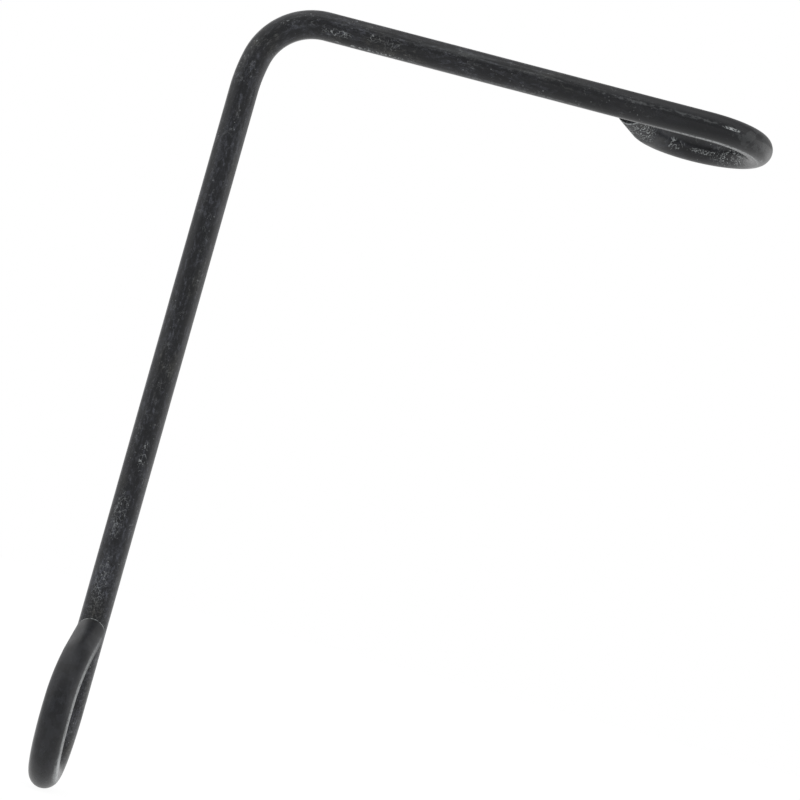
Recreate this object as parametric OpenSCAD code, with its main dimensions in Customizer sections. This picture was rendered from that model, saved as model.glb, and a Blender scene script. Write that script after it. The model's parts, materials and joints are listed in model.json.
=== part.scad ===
// Shutter dog holdback: one length of round steel bar, bent to an L, with each end
// rolled round into an eye.
//
// Millimetres. The origin is the centre of the wall eye, +Z runs up the long arm and
// +X runs out along the short arm. The bar's arms lie in one plane square to Y. The
// wall eye opens along X and curls to -Y. The shutter eye opens across the short arm,
// up and down, and curls to +Y.
//
// The bar is drawn in five lengths, which meet on full discs of its own section.

/* [Bar] */
// Diameter of the round bar
bar_d = 8; // [5:0.1:14]

/* [Arms] */
// Long arm, from the wall eye's centre up to the line of the short arm
long_reach = 198; // [120:1:400]
// Short arm, from the line of the long arm out to the shutter eye's centre
short_reach = 126; // [70:1:300]

/* [Corner] */
// Angle between the two arms
corner_angle = 90.7; // [75:0.1:120]
// Radius of the corner, at the middle of the bar
corner_r = 17; // [12:0.5:30]
// Radius of the easy stretch that leads into the corner from the long arm
lead_r = 48; // [32:1:90]
// Angle that the easy stretch turns through
lead_turn = 12; // [4:1:30]

/* [Eyes] */
// Diameter of the hole in each eye
eye_hole_d = 25.4; // [14:0.1:40]
// Angle that the round part of each eye turns through, before its straight end
eye_turn = 251; // [238:1:280]
// Least gap between the bar's cut end and the arm it comes back to
end_gap = 0.3; // [0.2:0.1:2]
// Width of the broken edge round each cut end
end_chamfer = 0.4; // [0.2:0.1:1.2]

/* [Hidden] */
$fn = 96;
bar_color = "#2b2c2e";

// The bar, and an eye's circle at the middle of the bar
bar_r = bar_d / 2;
eye_r = eye_hole_d / 2 + bar_r;

// An eye's straight end: its face leans by the turn's angle off the square, so its
// nearer edge is what stops end_gap short of the arm
end_lean = bar_r * abs(cos(eye_turn));
end_drop = eye_r * (1 - cos(eye_turn)) - end_lean - bar_r - end_gap;
end_len = end_drop / -sin(eye_turn);

// The corner is two arcs that run into each other, measured from the point where the
// arms' middle lines would cross: how far back along each arm the bend begins
bend_turn = 180 - corner_angle;
bend_out = lead_r * (1 - cos(lead_turn)) + corner_r * (cos(lead_turn) - cos(bend_turn));
bend_up = lead_r * sin(lead_turn) + corner_r * (sin(bend_turn) - sin(lead_turn));
short_setback = bend_out / sin(bend_turn);
long_setback = bend_up - short_setback * cos(bend_turn);

// Straight lengths of the arms
long_straight = long_reach - long_setback;
short_straight = short_reach - short_setback;

// The tilt of the short arm, above the level
short_tilt = corner_angle - 90;

// An arc of the bar that leaves the origin along +X and turns to +Y
module arc_out(radius, turn) {
    translate([0, radius, 0])
        rotate([0, 0, -90])
            rotate_extrude(angle = turn)
                translate([radius, 0])
                    circle(r = bar_r);
}

// An arc of the bar that turns the same way and arrives at the origin along +X
module arc_in(radius, turn) {
    mirror([1, 0, 0])
        arc_out(radius, turn);
}

// The place where an arc that leaves the origin has made its turn, with +X along the bar
module at_arc_end(radius, turn) {
    translate([0, radius, 0])
        rotate([0, 0, turn])
            translate([0, -radius, 0])
                children();
}

// A straight length of the bar along +X
module bar_straight(length) {
    rotate([0, 90, 0])
        cylinder(h = length, r = bar_r);
}

// The cut end of the bar, along +X, with its edge broken
module bar_end(length) {
    bar_straight(length - end_chamfer);
    translate([length - end_chamfer, 0, 0])
        rotate([0, 90, 0])
            cylinder(h = end_chamfer, r1 = bar_r, r2 = bar_r - end_chamfer);
}

// One eye, off the end of an arm that arrives along +X, with its centre towards +Y
module eye() {
    at_arc_end(eye_r, eye_turn) {
        arc_in(eye_r, eye_turn);
        bar_end(end_len);
    }
}

// The plane of the arms, with X out along the short arm and Y up the long arm
module arm_plane() {
    translate([0, eye_r, 0])
        rotate([90, 0, 0])
            children();
}

// The corner point of the middle lines, with X out along the short arm
module short_arm_line() {
    translate([0, eye_r, long_reach])
        rotate([0, -short_tilt, 0])
            children();
}

module wall_eye() {
    color(bar_color)
        translate([0, eye_r, 0])
            rotate([0, 90, 180])
                eye();
}

module long_arm() {
    color(bar_color)
        arm_plane()
            rotate([0, 0, 90])
                bar_straight(long_straight);
}

module corner_bend() {
    color(bar_color)
        arm_plane()
            translate([0, long_straight, 0])
                rotate([180, 0, 90])
                    at_arc_end(lead_r, lead_turn) {
                        arc_in(lead_r, lead_turn);
                        arc_out(corner_r, bend_turn - lead_turn);
                    }
}

module short_arm() {
    color(bar_color)
        short_arm_line()
            translate([short_setback, 0, 0])
                bar_straight(short_straight);
}

module shutter_eye() {
    color(bar_color)
        short_arm_line()
            translate([short_reach, 0, 0])
                eye();
}

wall_eye();
long_arm();
corner_bend();
short_arm();
shutter_eye();
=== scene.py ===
"""Shutter dog holdback: the look of one length of bent black bar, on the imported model.

Lengths are in millimetres unless a name says otherwise, in the model's own frame: the origin is
the middle of the wall eye, +Z runs up the long arm and +X out along the short arm.
"""

import json
import math
from collections import namedtuple

import bpy
import numpy as np
from mathutils import Matrix, Vector, noise


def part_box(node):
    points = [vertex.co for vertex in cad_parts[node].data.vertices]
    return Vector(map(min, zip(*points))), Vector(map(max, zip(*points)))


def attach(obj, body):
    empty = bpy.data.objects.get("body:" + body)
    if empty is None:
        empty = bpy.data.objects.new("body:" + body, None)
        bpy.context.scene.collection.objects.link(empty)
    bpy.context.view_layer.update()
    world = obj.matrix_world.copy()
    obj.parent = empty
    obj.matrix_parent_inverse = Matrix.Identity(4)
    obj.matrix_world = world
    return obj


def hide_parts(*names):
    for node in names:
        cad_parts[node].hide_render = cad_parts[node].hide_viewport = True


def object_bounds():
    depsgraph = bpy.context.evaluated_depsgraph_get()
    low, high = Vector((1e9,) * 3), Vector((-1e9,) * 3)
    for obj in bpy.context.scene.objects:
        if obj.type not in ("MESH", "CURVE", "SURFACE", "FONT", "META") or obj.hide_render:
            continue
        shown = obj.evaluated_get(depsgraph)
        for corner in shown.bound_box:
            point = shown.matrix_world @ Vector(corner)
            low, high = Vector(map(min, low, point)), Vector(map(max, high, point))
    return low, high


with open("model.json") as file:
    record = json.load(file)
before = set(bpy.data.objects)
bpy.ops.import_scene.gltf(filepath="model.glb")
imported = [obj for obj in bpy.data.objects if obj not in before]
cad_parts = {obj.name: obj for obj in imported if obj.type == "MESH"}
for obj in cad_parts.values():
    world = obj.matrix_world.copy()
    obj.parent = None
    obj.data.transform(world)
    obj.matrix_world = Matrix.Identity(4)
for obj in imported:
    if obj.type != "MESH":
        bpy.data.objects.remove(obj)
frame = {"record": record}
cad_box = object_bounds()

# ---------------------------------------------------------------- sizes of the bar

MM = 0.001
MOUNTS = {mount["name"]: mount for mount in frame["record"]["mounts"]}

BAR_R = MOUNTS["long_arm_bar"]["dims"]["r_mm"]
EYE_R = MOUNTS["wall_eye"]["dims"]["r_mm"] + BAR_R  # at the middle of the bar
LONG_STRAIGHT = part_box("long_arm")[1].z / MM
SHUTTER_EYE = Vector(MOUNTS["shutter_eye"]["pos_m"]) / MM

EYE_TURN = math.radians(251)
END_GAP = 0.3
RIM_R = 0.4  # of the rounded rim of each cut end
CORNER_TURN = math.radians(89.3)
CORNER_R = 17
LEAD_R = 48
LEAD_TURN = math.radians(12)

EYE_ARC = EYE_R * EYE_TURN
END_LEAN = BAR_R * abs(math.cos(EYE_TURN))
END_LEN = (EYE_R * (1 - math.cos(EYE_TURN)) - END_LEAN - BAR_R - END_GAP) / -math.sin(EYE_TURN)

# ---------------------------------------------------------------- the middle line

# A place on the bar's middle line: where it is, the way ahead, and two directions across the
# bar, which angles round the bar are counted from: zero, and a quarter turn on.
Pose = namedtuple("Pose", "at ahead zero quarter")

# A stretch of the bar: the CAD node that it is part of, its length, and for a bend its radius
# and the side of the bar, as an angle round it, that the bend turns towards.
Stretch = namedtuple("Stretch", "node length radius side")


def across(pose, angle):
    """The direction out of the bar at an angle round it."""
    return pose.zero * math.cos(angle) + pose.quarter * math.sin(angle)


def moved(pose, length, radius=None, side=0.0):
    """The pose a length further on, or further back if it is negative."""
    if radius is None:
        return pose._replace(at=pose.at + pose.ahead * length)
    inward = across(pose, side)
    turn = Matrix.Rotation(length / radius, 3, pose.ahead.cross(inward))
    centre = pose.at + inward * radius
    at = centre + turn @ (pose.at - centre)
    return Pose(at, turn @ pose.ahead, turn @ pose.zero, turn @ pose.quarter)


TOWARDS_WALL_EYE = 0.0
INSIDE_CORNER = math.pi / 2
TOWARDS_SHUTTER_EYE = math.pi

LONG_ARM_FOOT = Pose(
    at=Vector((0, EYE_R, 0)),
    ahead=Vector((0, 0, 1)),
    zero=Vector((0, -1, 0)),
    quarter=Vector((1, 0, 0)),
)
CORNER_START = moved(LONG_ARM_FOOT, LONG_STRAIGHT)
CORNER_MIDDLE = moved(CORNER_START, LEAD_R * LEAD_TURN, LEAD_R, INSIDE_CORNER)
CORNER_END = moved(CORNER_MIDDLE, CORNER_R * (CORNER_TURN - LEAD_TURN), CORNER_R, INSIDE_CORNER)
SHORT_STRAIGHT = (SHUTTER_EYE - Vector((0, EYE_R, 0)) - CORNER_END.at).length

STRETCHES = (
    Stretch("wall_eye", END_LEN, None, 0.0),
    Stretch("wall_eye", EYE_ARC, EYE_R, TOWARDS_WALL_EYE),
    Stretch("long_arm", LONG_STRAIGHT, None, 0.0),
    Stretch("corner_bend", LEAD_R * LEAD_TURN, LEAD_R, INSIDE_CORNER),
    Stretch("corner_bend", CORNER_R * (CORNER_TURN - LEAD_TURN), CORNER_R, INSIDE_CORNER),
    Stretch("short_arm", SHORT_STRAIGHT, None, 0.0),
    Stretch("shutter_eye", EYE_ARC, EYE_R, TOWARDS_SHUTTER_EYE),
    Stretch("shutter_eye", END_LEN, None, 0.0),
)
# Distances along the bar are counted from the foot of the long arm.
WALL_TIP = -(EYE_ARC + END_LEN)
SHUTTER_TIP = sum(stretch.length for stretch in STRETCHES) + WALL_TIP

# ---------------------------------------------------------------- the bar's surface

SIDES = 96
RING_STEP = 0.5
RIM_STEPS = 5
FACE_RINGS = (0.3, 0.6, 0.85)  # of the cut face's radius
INSET = 0.004  # the skin stays this far inside the CAD surface
SWELL_DEPTH = 0.03  # slow unevenness of the drawn bar
SWELL_SIZE = (5.0, 5.0, 14.0)  # across, across and along the bar
PIT_DEPTH = 0.012
PIT_SIZE = 0.9

# In the photograph the wall eye's curl stands a little off its plane, towards the short arm, as
# it comes round to the cut end.
LEAN = 0.38  # how far it stands off
LEAN_STARTS = -57.0  # distances along the bar
LEAN_FULL = -72.0


def soft_step(value, low, high):
    """0 at low, 1 at high, and a soft step between. low may be the greater of the two."""
    share = min(1.0, max(0.0, (value - low) / (high - low)))
    return share * share * (3 - 2 * share)


def leaned(pose, along):
    """The pose, moved off the wall eye's plane where the real curl stands off it."""
    lean = LEAN * soft_step(along, LEAN_STARTS, LEAN_FULL)
    return pose._replace(at=pose.at + Vector((lean, 0, 0)))


def stations():
    """(distance along the bar, pose, node) of every ring, in order from tip to tip."""
    pose = moved(moved(LONG_ARM_FOOT, -EYE_ARC, EYE_R, TOWARDS_WALL_EYE), -END_LEN)
    found = []
    along = WALL_TIP
    for stretch in STRETCHES:
        steps = math.ceil(stretch.length / RING_STEP)
        for step in range(steps):
            distance = stretch.length * step / steps
            here = moved(pose, distance, stretch.radius, stretch.side)
            found.append((along + distance, leaned(here, along + distance), stretch.node))
        pose = moved(pose, stretch.length, stretch.radius, stretch.side)
        along += stretch.length
    found.append((along, pose, STRETCHES[-1].node))
    return found


def hollow(unbent):
    """How far the surface lies under the full radius, at a place on the straightened bar."""
    swell = noise.noise(Vector(a / b for a, b in zip(unbent, SWELL_SIZE)))
    pits = noise.noise(unbent / PIT_SIZE)
    return INSET + SWELL_DEPTH * (0.5 - 0.5 * swell) + PIT_DEPTH * max(0.0, pits)


def ring(pose, along, radius, uneven=True):
    """One ring of points, and the same points on the straightened bar."""
    points, unbent = [], []
    for k in range(SIDES):
        angle = 2 * math.pi * k / SIDES
        flat = Vector((math.cos(angle) * radius, math.sin(angle) * radius, along))
        depth = hollow(flat) if uneven else INSET
        points.append(pose.at + across(pose, angle) * (radius - depth))
        unbent.append(flat)
    return points, unbent


def tip_rings(along, pose, outward):
    """The rings of a cut end, from the middle of its face out to where the rim begins.
    outward is 1 if the bar ends ahead of the pose, and -1 if it starts there."""
    face_r = BAR_R - RIM_R
    found = [ring(pose, along, face_r * share, False) for share in FACE_RINGS]
    for step in range(RIM_STEPS):
        angle = math.pi / 2 * step / RIM_STEPS
        back = -outward * RIM_R * (1 - math.cos(angle))
        radius = face_r + RIM_R * math.sin(angle)
        found.append(ring(moved(pose, back), along + back, radius, step > 0))
    return found


def skin(node, places, starts_cut, ends_cut):
    """A closed mesh of one node's length of the bar."""
    inner = [p for p in places if WALL_TIP + RIM_R <= p[0] <= SHUTTER_TIP - RIM_R]
    rings = [ring(pose, along, BAR_R) for along, pose, _ in inner]
    if starts_cut:
        rings = tip_rings(places[0][0], places[0][1], -1) + rings
    if ends_cut:
        rings += reversed(tip_rings(places[-1][0], places[-1][1], 1))
    points = [p * MM for r in rings for p in r[0]]
    unbent = [p for r in rings for p in r[1]]

    faces = [list(range(SIDES))[::-1]]
    for low in range(0, (len(rings) - 1) * SIDES, SIDES):
        for k in range(SIDES):
            after = (k + 1) % SIDES
            faces.append([low + k, low + after, low + SIDES + after, low + SIDES + k])
    faces.append(list(range((len(rings) - 1) * SIDES, len(rings) * SIDES)))

    mesh = bpy.data.meshes.new(node + "_skin")
    mesh.from_pydata(points, [], faces)
    mesh.validate()
    mesh.polygons.foreach_set("use_smooth", [True] * len(faces))
    for edge in mesh.edges:
        ends = edge.vertices
        at_start = max(ends) < SIDES and not starts_cut
        at_end = min(ends) >= (len(rings) - 1) * SIDES and not ends_cut
        edge.use_edge_sharp = at_start or at_end
    layer = mesh.attributes.new("unbent", "FLOAT_VECTOR", "POINT")
    layer.data.foreach_set("vector", np.array(unbent, np.float32).ravel())
    piece = bpy.data.objects.new(node + "_skin", mesh)
    bpy.context.scene.collection.objects.link(piece)
    return piece


# ---------------------------------------------------------------- materials


class Tree:
    """Short names for making the shader nodes that the materials use. node returns the node, and
    the others return a socket."""

    def __init__(self, owner):
        owner.use_nodes = True
        self.nodes = owner.node_tree.nodes
        self.links = owner.node_tree.links
        self.nodes.clear()

    def node(self, kind, settings=(), **inputs):
        made = self.nodes.new(kind)
        for name, value in dict(settings).items():
            setattr(made, name, value)
        for name, value in inputs.items():
            self.join(value, made.inputs[name.replace("_", " ")])
        return made

    def join(self, value, socket):
        if isinstance(value, bpy.types.NodeSocket):
            self.links.new(value, socket)
        else:
            socket.default_value = value

    def math(self, operation, *values):
        made = self.nodes.new("ShaderNodeMath")
        made.operation = operation
        for value, socket in zip(values, made.inputs):
            self.join(value, socket)
        return made.outputs[0]

    def vector_math(self, operation, vector, other):
        made = self.nodes.new("ShaderNodeVectorMath")
        made.operation = operation
        self.join(vector, made.inputs[0])
        self.join(other, made.inputs["Scale" if operation == "SCALE" else 1])
        return made.outputs["Value" if operation == "DOT_PRODUCT" else "Vector"]

    def noise(self, vector, size, detail, stretch=None, shift=None):
        """Noise from 0 to 1, with lumps of about the size. A stretch below 1 draws them out."""
        if stretch:
            vector = self.vector_math("MULTIPLY", vector, stretch)
        if shift:
            vector = self.vector_math("ADD", vector, shift)
        made = self.node("ShaderNodeTexNoise", Vector=vector, Scale=1 / size, Detail=detail)
        return made.outputs[0]

    def rise(self, value, low, high):
        """0 at low, 1 at high, and a soft step between. low may be the greater of the two."""
        made = self.node("ShaderNodeMapRange", {"interpolation_type": "SMOOTHSTEP"}, Value=value)
        made.inputs["From Min"].default_value = low
        made.inputs["From Max"].default_value = high
        return made.outputs["Result"]

    def mix(self, share, first, second):
        """A blend of two vectors."""
        made = self.node("ShaderNodeMix", {"data_type": "VECTOR"})
        self.join(share, made.inputs[0])
        self.join(first, made.inputs[4])
        self.join(second, made.inputs[5])
        return made.outputs[1]


# The black of the finish, and the tints of what is added to it: the grey's tint goes from
# BLUISH to OLIVE, and the worn marks and the painted highlights have PALE_TINT.
BLACK = (0.0012, 0.0017, 0.0033)
BLUISH = (0.91, 0.96, 1.17)
OLIVE = (1.04, 1.02, 0.86)
PALE_TINT = (0.95, 1.0, 1.0)

# How much each pattern adds to the black
GREY = 0.0166  # the paler blots
HAZE = 0.0038  # broad clouds
STREAK_GREY = 0.0218  # the drawn streaks of the arms
FLECK_GREY = 0.0192
LONG_ARM_GREY = 0.0029  # all of the long arm
GRIT_GREY = 0.032  # the grit at the long arm's foot
STAIN_GREY = 0.0058  # the stains of the wall eye
SAW_GREY = 0.04  # the saw's lines on the cut faces
PALE = 0.19  # a worn speck
DUST = 0.077  # a scratch or a curl
# a painted highlight on the rims of the cut ends
PAINTED_RIM_HIGHLIGHT = 0.36  # the rims of the cut ends

# How rough the finish is, and how many times the way from ROUGH to TIP_ROUGH it goes at the eyes
ROUGH = 0.25
TIP_ROUGH = 0.42
WORN_ROUGH = 0.5
MOTTLED_ROUGH = 0.20
WALL_TIP_DULL = 1.25
SHUTTER_EYE_DULL = 0.6
SHUTTER_TIP_DULL = 2.4

# The relief of the finish
GRAIN_HEIGHT = 0.010
STREAK_HEIGHT = 0.03
MOTTLE_HEIGHT = 0.09

# A noise pattern on the straightened bar: the size of its lumps, its detail, how it is
# stretched, and how far it is shifted so that it differs from the others.
Pattern = namedtuple("Pattern", "size detail stretch shift", defaults=(None, None))

LONG = (1.0, 1.0, 0.4)
DRAWN = (1.0, 1.0, 0.06)

GRAIN = Pattern(0.42, 3.0)
MOTTLE = Pattern(2.6, 2.5, LONG)
CLOUD = Pattern(7.0, 2.0, LONG)
STREAKS = Pattern(0.7, 2.0, DRAWN)
FLECKS = Pattern(0.75, 2.0, (1.0, 1.0, 0.45))
RAGGED = Pattern(0.8, 3.0)
WARMTH = Pattern(5.5, 1.0, (1.0, 1.0, 0.5))
CURLS = Pattern(1.9, 1.5)
HAIRS = Pattern(1.1, 1.0, LONG)
WHORLS = Pattern(3.0, 1.5, None, (3.0, 8.0, 2.0))
SPECK_PATCHES = Pattern(1.9, 2.0, None, (9.0, 1.0, 4.0))
STAINS = Pattern(2.4, 2.5, None, (2.0, 6.0, 7.0))
CLUSTERS = Pattern(4.5, 2.0)
CURL_PATCHES = Pattern(3.2, 1.0, None, (31.0, 7.0, 3.0))
DARK_BLOTS = Pattern(1.2, 2.0, LONG, (5.0, 50.0, 11.0))
GRIT = Pattern(0.55, 1.0)
SAW_LINES = Pattern(0.3, 2.0, (1.0, 0.08, 1.0))

# Where each pattern starts to show and where it shows in full, as values of its noise
BLOT_EDGE = (0.49, 0.55)
BLOT_CLOUDS = (0.38, 0.56)
HAZE_EDGE = (0.42, 0.60)
STREAK_EDGE = (0.53, 0.62)
STREAK_BREAKS = (0.40, 0.60)
FLECK_EDGE = (0.53, 0.62)
CLEAR_EDGE = (0.60, 0.54)  # of the surface between the dark blots
GRAIN_EDGE = (0.18, 0.62)
GRIT_EDGE = (0.50, 0.66)
STAIN_EDGE = (0.46, 0.51)
CLUSTER_EDGE = (0.44, 0.62)
CURL_PATCH_EDGE = (0.50, 0.62)
WORN_RAGGED = (0.60, 0.66)
SPECK_GRAIN = (0.53, 0.58)
SPECK_PATCH_EDGE = (0.40, 0.54)
SAW_EDGE = (0.4, 0.6)
RIM_BREAKS = (0.30, 0.54)
WARM_EDGE = (0.50, 0.72)

# Curls, hairs and loops are level lines of a noise: the value they run at, and how far from it
# they start to show and show in full.
CURL_LEVEL = 0.5
CURL_LINE = (0.022, 0.006)
LOOP_LINE = (0.045, 0.015)
HAIR_LEVEL = 0.52
HAIR_LINE = (0.016, 0.004)
WHORL_TURNS = 7.0  # how many lines the whorls' noise gives, from 0 to 1
WHORL_HALF = 0.5  # half the way from one line to the next
WHORL_LINE = (0.14, 0.06)
WHORL_BREAKS = (0.36, 0.48)

# Specks: dots in the cells of a Voronoi pattern, with radii as shares of the cell
SPECK_CELL = 0.95
SPECK_LEAST = 0.06
SPECK_RANGE = 0.20
SPECKS_EVERYWHERE = 0.06  # how strongly they show
SPECKS_IN_CLUSTERS = 0.85  # and how much more in the clusters

# Stretches of the bar that differ: the distance along it where each starts, and where it shows
# in full. A stretch that has two ends has such a pair for each of them.
ARMS = ((-25.0, -5.0), (320.0, 245.0))
BLOTS_BEGIN = (-60.0, 20.0)
LONG_ARM_END = (210.0, 170.0)
PLAINER_STRETCH = ((262.0, 294.0), (360.0, 346.0))
GRITTY_STRETCH = ((-24.0, -14.0), (52.0, 24.0))
WALL_EYE_BEGIN = (-14.0, -34.0)
WALL_TIP_BEGIN = (-50.0, -74.0)
SHUTTER_EYE_BEGIN = (344.0, 357.0)
SHUTTER_TIP_BEGIN = (380.0, 390.0)

# The same, as distances from the nearer cut end
# RIM is where the painted rim highlight lies
RIM = ((0.01, 0.08), (0.9, 0.45))
CUT_FACE = (0.03, 0.0)

FLECKS_OFF_ARMS = 0.2  # the share of the flecks that the eyes have
IN_DARK_BLOTS = 0.2  # the share of the grey that is left there
PLAINER = 0.75  # the share of the grey that the plainer stretch loses

# How busy the bar's surface is along its length: from, to, and how much of the specks and curls
# each stretch has. The stretches between are cleaner.
BUSY = (
    (-34.0, 66.0, 0.9),
    (66.0, 150.0, 0.55),
    (150.0, 206.0, 0.75),
    (204.0, 235.0, 0.9),
    (240.0, 300.0, 0.75),
    (338.0, 371.0, 1.0),
    (388.0, 407.0, 0.6),
)
BUSY_FADE = 3  # half the length that it fades over at each end of a stretch

# A mark on the bar: the middle of it, as a distance along the bar and an angle round it in
# degrees, its length along the bar, its width round it, how strongly it shows, its pattern, and
# where the pattern starts to show and shows in full.
Mark = namedtuple("Mark", "along angle length width strength pattern edge", defaults=(None,))

MARKS = (
    # The worn spot on the shutter eye, and the rub and the streak that lead to it
    Mark(321.4, -3.5, 5.6, 1.0, 0.384, "ragged", (0.36, 0.55)),
    Mark(304.0, -9.0, 50.0, 1.3, 0.0448, "flecks", (0.38, 0.60)),
    Mark(242.0, -22.0, 136.0, 2.6, 0.024, "streaks", (0.40, 0.60)),
    # The short arm's underside
    Mark(221.0, 70.0, 36.0, 1.3, 0.32, "ragged", (0.48, 0.60)),
    # Curls on the long arm: a scratch, and two patches below it
    Mark(70.8, 17.0, 11.0, 2.2, 0.192, "curls"),
    Mark(54.0, -18.0, 19.0, 5.0, 0.10, "curls"),
    Mark(35.0, -12.0, 20.0, 5.0, 0.09, "curls"),
    # By the corner: a patch and a ring of curls, and specks on its top and its outside
    Mark(211.5, 27.0, 10.0, 2.8, 0.192, "curls"),
    Mark(221.3, 9.0, 4.5, 2.8, 0.192, "curls"),
    Mark(198.0, -24.0, 8.0, 1.4, 0.192, "specks"),
    Mark(187.0, -42.0, 6.0, 3.0, 0.16, "specks"),
    # The short arm's lower edge
    Mark(262.0, 72.0, 70.0, 1.0, 0.0896, "ragged", (0.44, 0.60)),
    # Inside the shutter eye: a loop, a patch of specks, and the trail between them
    Mark(376.5, 160.0, 9.0, 4.0, 0.269, "loops"),
    Mark(350.5, 147.0, 23.0, 7.0, 0.352, "speck_patches"),
    Mark(365.0, 158.0, 13.0, 1.8, 0.224, "grain", (0.50, 0.56)),
    # The shutter eye's right-hand side: a scuff, and stains before it
    Mark(337.5, 72.0, 12.0, 5.5, 0.128, "specks"),
    Mark(328.0, 4.0, 17.0, 9.0, 0.0224, "stains"),
    # The whorls near the shutter eye's cut end, and a painted highlight along the eye's rubbed
    # lower edge
    Mark(396.5, 102.0, 25.0, 13.0, 0.448, "whorls"),
    Mark(321.0, 80.0, 52.0, 1.4, 0.32, "ragged", (0.30, 0.6)),
    # The wall eye: a pale cast near its cut end, a painted highlight along its rubbed edge on
    # the short arm's side, and a painted glint low on that edge
    Mark(-82.0, -150.0, 24.0, 7.0, 0.02, "cloud", (0.2, 0.6)),
    Mark(-51.0, 106.0, 92.0, 1.9, 0.24, "ragged", (0.28, 0.55)),
    Mark(-35.5, 110.0, 17.0, 3.4, 0.2, "ragged", (0.2, 0.5)),
)
MARK_DEPTH = 1.0  # a mark reaches at least this far into the bar, so that it isn't cut off
MARK_FADE = (1.0, 0.45)  # as shares of the way from the middle of the mark to its edge
MARK_RAGGED = 1.2  # how much the ragged noise moves that edge, as such a share


def shape_of(tree, place, mark, ragged):
    """1 in the middle of a mark, falling to 0 at its edge, which ragged noise breaks up."""
    angle = math.radians(mark.angle)
    middle = (BAR_R * math.cos(angle), BAR_R * math.sin(angle), mark.along)
    reach = (max(MARK_DEPTH, mark.width), mark.width / 2, mark.length / 2)
    local = tree.node("ShaderNodeMapping", {"vector_type": "TEXTURE"}, Vector=place)
    tree.join(middle, local.inputs["Location"])
    tree.join((0.0, 0.0, angle), local.inputs["Rotation"])
    tree.join(reach, local.inputs["Scale"])
    away = tree.node("ShaderNodeVectorMath", {"operation": "LENGTH"})
    tree.join(local.outputs[0], away.inputs[0])
    edge = tree.math("MULTIPLY_ADD", ragged, MARK_RAGGED, -MARK_RAGGED / 2)
    return tree.rise(tree.math("ADD", away.outputs["Value"], edge), *MARK_FADE)


def from_level(tree, noise_value, level):
    """How far a noise is from a level."""
    return tree.math("ABSOLUTE", tree.math("SUBTRACT", noise_value, level))


def between(tree, value, begin, end):
    """1 where a value lies between two fades, and 0 beyond them."""
    return tree.math("MULTIPLY", tree.rise(value, *begin), tree.rise(value, *end))


def busy_share(tree, along):
    """How much of the specks and curls each place along the bar has."""
    busy = None
    for low, high, amount in BUSY:
        part = tree.math("MULTIPLY", tree.rise(along, low - BUSY_FADE, low + BUSY_FADE), amount)
        ends = tree.rise(along, high + BUSY_FADE, high - BUSY_FADE)
        part = tree.math("MULTIPLY", part, ends)
        busy = part if busy is None else tree.math("MAXIMUM", busy, part)
    return busy


def bar_patterns(tree, place):
    """Every pattern of the finish by its name, as noise or as a share from 0 to 1."""
    found = {
        "grain": tree.noise(place, *GRAIN),
        "mottle": tree.noise(place, *MOTTLE),
        "cloud": tree.noise(place, *CLOUD),
        "streaks": tree.noise(place, *STREAKS),
        "flecks": tree.noise(place, *FLECKS),
        "ragged": tree.noise(place, *RAGGED),
        "warmth": tree.noise(place, *WARMTH),
    }

    # Specks: a dot in some cells of a Voronoi pattern
    cells = tree.node("ShaderNodeTexVoronoi", Vector=place, Scale=1 / SPECK_CELL)
    cell_id = tree.node("ShaderNodeSeparateColor", Color=cells.outputs["Color"])
    dot_size = tree.math("MULTIPLY_ADD", cell_id.outputs[1], SPECK_RANGE, SPECK_LEAST)
    inside = tree.math("LESS_THAN", cells.outputs["Distance"], dot_size)
    dots = tree.math("MULTIPLY", inside, cell_id.outputs[2])
    found["dots"] = dots
    found["specks"] = tree.math("MAXIMUM", dots, tree.rise(found["ragged"], *WORN_RAGGED))

    # Curls, hairs and loops
    level = from_level(tree, tree.noise(place, *CURLS), CURL_LEVEL)
    hair = from_level(tree, tree.noise(place, *HAIRS), HAIR_LEVEL)
    curls = tree.rise(level, *CURL_LINE)
    found["curls"] = tree.math("MAXIMUM", curls, tree.rise(hair, *HAIR_LINE))
    found["loops"] = tree.rise(level, *LOOP_LINE)

    turns = tree.math("MULTIPLY", tree.noise(place, *WHORLS), WHORL_TURNS)
    whorls = tree.rise(tree.math("PINGPONG", turns, WHORL_HALF), *WHORL_LINE)
    breaks = tree.rise(found["ragged"], *WHORL_BREAKS)
    found["whorls"] = tree.math("MULTIPLY", whorls, breaks)

    patches = tree.rise(tree.noise(place, *SPECK_PATCHES), *SPECK_PATCH_EDGE)
    fine = tree.rise(found["grain"], *SPECK_GRAIN)
    found["speck_patches"] = tree.math("MULTIPLY", fine, patches)
    found["stains"] = tree.rise(tree.noise(place, *STAINS), *STAIN_EDGE)
    return found


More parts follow.
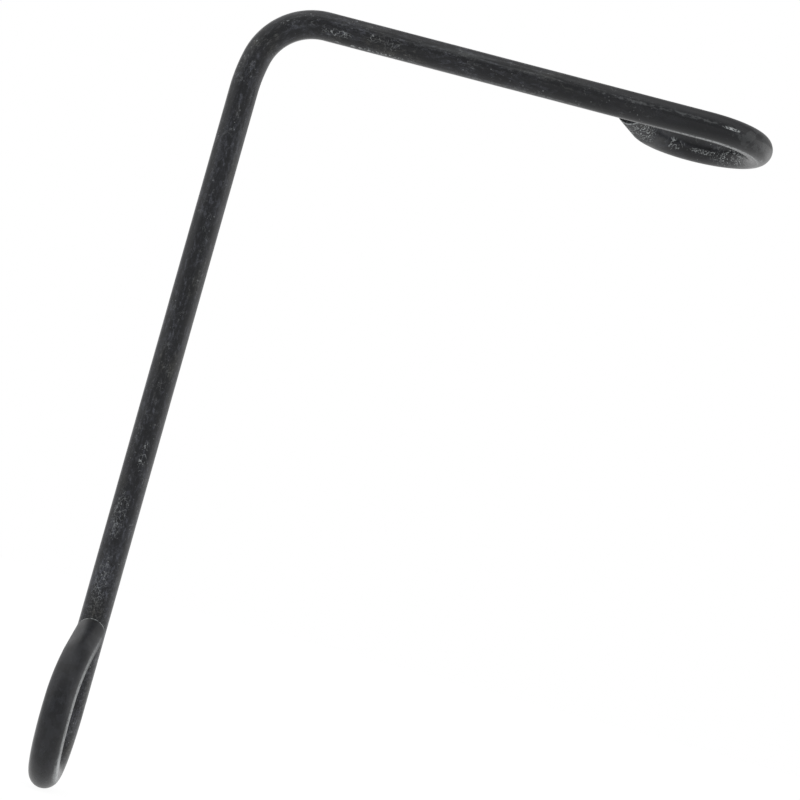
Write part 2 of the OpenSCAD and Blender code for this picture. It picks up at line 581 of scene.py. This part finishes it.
def grey_of(tree, place, along, patterns):
    """How much grey the blots, streaks, flecks, grit and stains add to the black."""
    on_arms = between(tree, along, *ARMS)
    cloud, flecks = patterns["cloud"], patterns["flecks"]

    blots = tree.rise(patterns["mottle"], *BLOT_EDGE)
    blots = tree.math("MULTIPLY", blots, tree.rise(cloud, *BLOT_CLOUDS))
    blots = tree.math("MULTIPLY", blots, tree.rise(along, *BLOTS_BEGIN))
    shade = tree.math("MULTIPLY", blots, GREY)
    shade = tree.math("MULTIPLY_ADD", tree.rise(cloud, *HAZE_EDGE), HAZE, shade)

    lines = tree.rise(patterns["streaks"], *STREAK_EDGE)
    lines = tree.math("MULTIPLY", lines, tree.rise(flecks, *STREAK_BREAKS))
    shade = tree.math("MULTIPLY_ADD", tree.math("MULTIPLY", lines, on_arms), STREAK_GREY, shade)

    amount = tree.math("MULTIPLY_ADD", on_arms, 1 - FLECKS_OFF_ARMS, FLECKS_OFF_ARMS)
    bright = tree.math("MULTIPLY", tree.rise(flecks, *FLECK_EDGE), amount)
    shade = tree.math("MULTIPLY_ADD", bright, FLECK_GREY, shade)

    on_long_arm = tree.math("MULTIPLY", on_arms, tree.rise(along, *LONG_ARM_END))
    shade = tree.math("MULTIPLY_ADD", on_long_arm, LONG_ARM_GREY, shade)

    clear = tree.rise(tree.noise(place, *DARK_BLOTS), *CLEAR_EDGE)
    left = tree.math("MULTIPLY_ADD", clear, 1 - IN_DARK_BLOTS, IN_DARK_BLOTS)
    shade = tree.math("MULTIPLY", shade, left)
    shade = tree.math("MULTIPLY", shade, tree.rise(patterns["grain"], *GRAIN_EDGE))

    plainer = between(tree, along, *PLAINER_STRETCH)
    shade = tree.math("MULTIPLY", shade, tree.math("MULTIPLY_ADD", plainer, -PLAINER, 1.0))

    grit = tree.rise(tree.noise(place, *GRIT), *GRIT_EDGE)
    grit = tree.math("MULTIPLY", between(tree, along, *GRITTY_STRETCH), grit)
    shade = tree.math("MULTIPLY_ADD", grit, GRIT_GREY, shade)

    on_wall_eye = tree.rise(along, *WALL_EYE_BEGIN)
    on_wall_eye = tree.math("MULTIPLY", on_wall_eye, patterns["stains"])
    return tree.math("MULTIPLY_ADD", on_wall_eye, STAIN_GREY, shade)


def bar_material():
    """Thin black coating on drawn steel bar: streaked along the bar, mottled, and speckled and
    scratched where it has been handled, with painted highlights along some edges of the eyes and
    on the rims of the cut ends. Every pattern lies on the straightened bar."""
    material = bpy.data.materials.new("black_steel")
    tree = Tree(material)
    place = tree.node("ShaderNodeAttribute", {"attribute_name": "unbent"}).outputs["Vector"]
    along = tree.node("ShaderNodeSeparateXYZ", Vector=place).outputs["Z"]
    patterns = bar_patterns(tree, place)
    grain, mottle, ragged = patterns["grain"], patterns["mottle"], patterns["ragged"]
    shade = grey_of(tree, place, along, patterns)

    # Specks and curls, in clusters where the bar has been handled
    clusters = tree.rise(tree.noise(place, *CLUSTERS), *CLUSTER_EDGE)
    handled = tree.math("MULTIPLY", busy_share(tree, along), clusters)
    amount = tree.math("MULTIPLY_ADD", handled, SPECKS_IN_CLUSTERS, SPECKS_EVERYWHERE)
    speck_amount = tree.math("MULTIPLY", patterns["dots"], amount)
    curl_patches = tree.rise(tree.noise(place, *CURL_PATCHES), *CURL_PATCH_EDGE)
    curl_amount = tree.math("MULTIPLY", patterns["curls"], curl_patches)
    curl_amount = tree.math("MULTIPLY", curl_amount, handled)
    # the pale of the worn specks and curls; the painted highlights are added to it below
    wear_and_highlights = tree.math("MULTIPLY", speck_amount, PALE)
    wear_and_highlights = tree.math("MULTIPLY_ADD", curl_amount, DUST, wear_and_highlights)

    # The marks that show in the photograph: wear, and painted highlights along the eyes' edges
    for mark in MARKS:
        pattern = patterns[mark.pattern]
        if mark.edge:
            pattern = tree.rise(pattern, *mark.edge)
        shown = tree.math("MULTIPLY", shape_of(tree, place, mark, ragged), pattern)
        wear_and_highlights = tree.math("MULTIPLY_ADD", shown, mark.strength, wear_and_highlights)

    # The rims of the cut ends, painted pale as a highlight, and the saw's lines across their
    # faces
    from_wall_tip = tree.math("SUBTRACT", along, WALL_TIP)
    from_shutter_tip = tree.math("SUBTRACT", SHUTTER_TIP, along)
    from_tip = tree.math("MINIMUM", from_wall_tip, from_shutter_tip)
    rim = between(tree, from_tip, *RIM)
    rim = tree.math("MULTIPLY", rim, tree.rise(ragged, *RIM_BREAKS))
    wear_and_highlights = tree.math("MULTIPLY_ADD", rim, PAINTED_RIM_HIGHLIGHT, wear_and_highlights)
    saw = tree.rise(tree.noise(place, *SAW_LINES), *SAW_EDGE)
    sawn = tree.math("MULTIPLY", tree.rise(from_tip, *CUT_FACE), saw)
    shade = tree.math("MULTIPLY_ADD", sawn, SAW_GREY, shade)

    tint = tree.mix(tree.rise(patterns["warmth"], *WARM_EDGE), BLUISH, OLIVE)
    color = tree.vector_math("SCALE", tint, shade)
    pale = tree.vector_math("SCALE", PALE_TINT, wear_and_highlights)
    marked = tree.vector_math("ADD", color, pale)
    both = tree.vector_math("ADD", marked, BLACK)

    # Each eye is duller towards its cut end
    at_shutter_eye = tree.rise(along, *SHUTTER_EYE_BEGIN)
    at_shutter_eye = tree.math("MULTIPLY", at_shutter_eye, SHUTTER_EYE_DULL)
    at_wall_tip = tree.math("MULTIPLY", tree.rise(along, *WALL_TIP_BEGIN), WALL_TIP_DULL)
    duller = tree.math("MAXIMUM", at_wall_tip, at_shutter_eye)
    at_shutter_tip = tree.rise(along, *SHUTTER_TIP_BEGIN)
    at_shutter_tip = tree.math("MULTIPLY", at_shutter_tip, SHUTTER_TIP_DULL)
    duller = tree.math("MAXIMUM", duller, at_shutter_tip)
    least = ROUGH - MOTTLED_ROUGH / 2
    roughness = tree.math("MULTIPLY_ADD", duller, TIP_ROUGH - ROUGH, least)
    roughness = tree.math("MULTIPLY_ADD", mottle, MOTTLED_ROUGH, roughness)
    speck_rough = tree.math("MULTIPLY", speck_amount, WORN_ROUGH)
    roughness = tree.math("MAXIMUM", roughness, speck_rough)

    height = tree.math("MULTIPLY", patterns["streaks"], STREAK_HEIGHT)
    height = tree.math("MULTIPLY_ADD", grain, GRAIN_HEIGHT, height)
    height = tree.math("MULTIPLY_ADD", mottle, MOTTLE_HEIGHT, height)
    height = tree.math("MULTIPLY", height, MM)
    bump = tree.node("ShaderNodeBump", Height=height, Strength=1.0, Distance=1.0)

    shader = tree.node("ShaderNodeBsdfPrincipled", Roughness=roughness, Normal=bump.outputs[0])
    tree.join(both, shader.inputs["Base Color"])
    output = tree.node("ShaderNodeOutputMaterial")
    tree.join(shader.outputs[0], output.inputs["Surface"])
    return material


# ---------------------------------------------------------------- stage, light and camera

FLOOR_SIZE_M = 6.0
FLOOR_GAP_M = 0.0002  # under the part
PAPER_TONE = 0.78
PAPER_GRAIN = 0.04
PAPER_GRAIN_SIZE_M = 0.004
PAPER_DETAIL = 3.0
FLOOR_GLOW = 1.1  # how strongly its white glows
FLOOR_DIM = 0.5  # what is left of the glow in front of the part, in what the bar reflects
FLOOR_DIM_Y_M = (-0.2, 0.1)  # where the glow starts to rise, and where it is full
GLOW_REFLECTED = 0.5  # the glow's share of the floor in a reflection
GLOW_SEEN = 0.35  # what the camera sees of it beyond that

# Where the white world is dimmer for all but the camera: the middle of each dim part, the
# cosine of the angle from there at which it starts, and how much the middle of it loses.
Dim = namedtuple("Dim", "towards start amount")

DIM_PARTS = (
    Dim((0, -1, 0), 0.0, 0.48),  # in front, where the camera stands
    Dim((0.4, 0.6, 0.7), 0.5, 0.6),  # high up behind, on the right
    Dim((-0.85, 0.5, 0.1), 0.6, 0.3),  # on the left, a little behind
)

# A soft box: the way to it from the middle of the part, how far off it is, its width and
# height, its power, and whether it shows in reflections.
SoftBox = namedtuple("SoftBox", "name direction distance_m width_m height_m watts reflected")

SOFT_BOXES = (
    SoftBox("right_box", (0.90, 0.42, 0.05), 0.9, 1.1, 0.6, 0.75, True),
    SoftBox("left_box", (-0.97, -0.2, 0.15), 0.9, 0.9, 0.9, 0.25, True),
    SoftBox("top_box", (0.0, -0.3, 0.95), 0.9, 0.9, 0.9, 0.25, True),
    SoftBox("front_fill", (0.0, -0.95, 0.3), 2.0, 2.4, 2.0, 18.0, False),
)


def seen_directly(tree):
    """1 where a ray from the camera, a gloss or a clear surface arrives, and 0 elsewhere."""
    path = tree.node("ShaderNodeLightPath")
    found = tree.math("MAXIMUM", path.outputs["Is Camera Ray"], path.outputs["Is Glossy Ray"])
    return tree.math("MAXIMUM", found, path.outputs["Is Transmission Ray"])


def dimmed(tree, direction, dim):
    """1 away from a dim part of the world, falling softly to its least at the middle of it."""
    nearness = tree.vector_math("DOT_PRODUCT", direction, Vector(dim.towards).normalized())
    share = tree.rise(nearness, dim.start, 1.0)
    return tree.math("MULTIPLY_ADD", share, -dim.amount, 1.0)


def white_world():
    """A white studio. The camera sees plain white, and the bar reflects the dim parts too."""
    world = bpy.data.worlds.new("studio")
    bpy.context.scene.world = world
    tree = Tree(world)
    path = tree.node("ShaderNodeLightPath")
    direction = tree.node("ShaderNodeTexCoord").outputs["Generated"]
    level = dimmed(tree, direction, DIM_PARTS[0])
    for dim in DIM_PARTS[1:]:
        level = tree.math("MULTIPLY", level, dimmed(tree, direction, dim))
    level = tree.math("MAXIMUM", level, path.outputs["Is Camera Ray"])
    background = tree.node("ShaderNodeBackground", Color=(1, 1, 1, 1), Strength=level)
    output = tree.node("ShaderNodeOutputWorld")
    tree.join(background.outputs[0], output.inputs["Surface"])


def floor_material():
    """Pale paper with a faint grain. Most of what the camera sees of it is an even white, and
    the rest is lit, so that it keeps the part's shadow."""
    material = bpy.data.materials.new("floor")
    tree = Tree(material)
    position = tree.node("ShaderNodeNewGeometry").outputs["Position"]
    place = tree.node("ShaderNodeSeparateXYZ", Vector=position)
    path = tree.node("ShaderNodeLightPath")

    level = tree.rise(place.outputs["Y"], *FLOOR_DIM_Y_M)
    level = tree.math("MULTIPLY_ADD", level, 1 - FLOOR_DIM, FLOOR_DIM)
    level = tree.math("MAXIMUM", level, path.outputs["Is Camera Ray"])
    level = tree.math("MULTIPLY", level, FLOOR_GLOW)
    shown = tree.math("MULTIPLY_ADD", path.outputs["Is Camera Ray"], GLOW_SEEN, GLOW_REFLECTED)

    paper = tree.noise(position, PAPER_GRAIN_SIZE_M, PAPER_DETAIL)
    tone = tree.math("MULTIPLY_ADD", paper, PAPER_GRAIN, PAPER_TONE)
    matt = tree.node("ShaderNodeBsdfDiffuse", Color=tone)
    glow = tree.node("ShaderNodeEmission", Color=(1, 1, 1, 1), Strength=level)
    blend = tree.node("ShaderNodeMixShader")
    tree.join(tree.math("MULTIPLY", seen_directly(tree), shown), blend.inputs[0])
    tree.join(matt.outputs[0], blend.inputs[1])
    tree.join(glow.outputs[0], blend.inputs[2])
    output = tree.node("ShaderNodeOutputMaterial")
    tree.join(blend.outputs[0], output.inputs["Surface"])
    return material


def floor():
    mesh = bpy.data.meshes.new("floor")
    half = FLOOR_SIZE_M / 2
    low = cad_box[0].z - FLOOR_GAP_M
    corners = [(-half, -half, low), (half, -half, low), (half, half, low), (-half, half, low)]
    mesh.from_pydata(corners, [], [(0, 1, 2, 3)])
    mesh.materials.append(floor_material())
    made = bpy.data.objects.new("floor", mesh)
    bpy.context.scene.collection.objects.link(made)


def soft_light(box):
    data = bpy.data.lights.new(box.name, "AREA")
    data.shape = "RECTANGLE"
    data.size = box.width_m
    data.size_y = box.height_m
    data.energy = box.watts
    made = bpy.data.objects.new(box.name, data)
    middle = (cad_box[0] + cad_box[1]) / 2
    towards = Vector(box.direction).normalized()
    made.location = middle + towards * box.distance_m
    made.rotation_euler = towards.to_track_quat("Z", "Y").to_euler()
    made.visible_glossy = box.reflected
    bpy.context.scene.collection.objects.link(made)


# The camera stands in front of the arms' plane, a little above the wall eye, and looks a little
# upwards. It is rolled, so that the long arm leans to the right in the picture.
CAMERA_AT_M = (0.06403, -0.69590, 0.04711)
CAMERA_PITCH = math.radians(4.5694)
CAMERA_HEADING = math.radians(-0.0073)
CAMERA_ROLL = math.radians(15.3399)
LENS = 118.041
SENSOR = 36.0
CLIP_M = (0.01, 20.0)


def camera():
    data = bpy.data.cameras.new("camera")
    data.lens = LENS
    data.sensor_width = SENSOR
    data.clip_start, data.clip_end = CLIP_M
    made = bpy.data.objects.new("camera", data)
    made.location = CAMERA_AT_M
    heading = Matrix.Rotation(-CAMERA_HEADING, 3, "Z")
    pitch = Matrix.Rotation(math.pi / 2 + CAMERA_PITCH, 3, "X")
    roll = Matrix.Rotation(CAMERA_ROLL, 3, "Z")
    made.rotation_euler = (heading @ pitch @ roll).to_euler()
    bpy.context.scene.collection.objects.link(made)
    bpy.context.scene.camera = made


# ---------------------------------------------------------------- the scene

bpy.context.scene.view_settings.view_transform = "Standard"

places = stations()
black_steel = bar_material()
node_names = list(dict.fromkeys(stretch.node for stretch in STRETCHES))
for name in node_names:
    first = next(i for i, place in enumerate(places) if place[2] == name)
    last = max(i for i, place in enumerate(places) if place[2] == name)
    ends_cut = name == node_names[-1]
    after = last + 1 if ends_cut else last + 2  # a node ends on the next one's first ring
    piece = skin(name, places[first:after], name == node_names[0], ends_cut)
    piece.data.materials.append(black_steel)
    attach(piece, "root")
    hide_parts(name)

white_world()
floor()
for box in SOFT_BOXES:
    soft_light(box)
camera()
